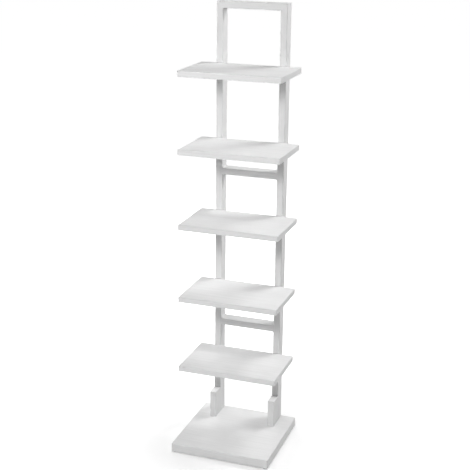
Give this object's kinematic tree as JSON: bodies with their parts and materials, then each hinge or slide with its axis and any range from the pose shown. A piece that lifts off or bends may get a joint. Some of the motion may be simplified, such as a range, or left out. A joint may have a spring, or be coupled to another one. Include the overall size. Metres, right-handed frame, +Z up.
{
  "type": "metal shelving unit",
  "caption": "Tall narrow shelving unit: a tube frame like an upside-down U with cross rails, on a square base with short foot posts, carrying shelves that stick out forwards.",
  "frame": {"origin": "on the floor, under the middle of the base", "axes": "+Z up, -Y towards the front where the shelves stick out, +X to the right seen from the front"},
  "size_m": [0.3, 0.288, 1.301],
  "materials": {
    "frame_powder_coat": "matt white powder coat on welded steel tube",
    "shelf_powder_coat": "matt white powder coat on folded steel sheet",
    "base_powder_coat": "matt white powder coat on folded steel sheet",
    "cap_plastic": "moulded white plastic, matt",
    "black_steel": "black hot rolled steel plate, oiled",
    "zinc_plated_steel": "bright zinc plate",
    "pad_rubber": "moulded rubber, matt"
  },
  "bodies": {
    "root": {"base_pan": "base_powder_coat", "ballast_plate": "black_steel", "base_studs": "zinc_plated_steel", "base_nuts": "zinc_plated_steel", "base_pads": "pad_rubber", "left_foot_plate": "frame_powder_coat", "right_foot_plate": "frame_powder_coat", "frame_bolts": "zinc_plated_steel", "frame_washers": "zinc_plated_steel", "left_upright": "frame_powder_coat", "right_upright": "frame_powder_coat", "top_rail": "frame_powder_coat", "upper_cross_rail": "frame_powder_coat", "lower_cross_rail": "frame_powder_coat", "left_foot_post": "frame_powder_coat", "right_foot_post": "frame_powder_coat", "left_post_cap": "cap_plastic", "right_post_cap": "cap_plastic", "shelf_1": "shelf_powder_coat", "shelf_2": "shelf_powder_coat", "shelf_3": "shelf_powder_coat", "shelf_4": "shelf_powder_coat", "shelf_5": "shelf_powder_coat", "left_arm_1": "frame_powder_coat", "left_arm_2": "frame_powder_coat", "left_arm_3": "frame_powder_coat", "left_arm_4": "frame_powder_coat", "left_arm_5": "frame_powder_coat", "right_arm_1": "frame_powder_coat", "right_arm_2": "frame_powder_coat", "right_arm_3": "frame_powder_coat", "right_arm_4": "frame_powder_coat", "right_arm_5": "frame_powder_coat", "shelf_studs": "zinc_plated_steel", "shelf_nuts": "zinc_plated_steel"}
  },
  "joints": []
}
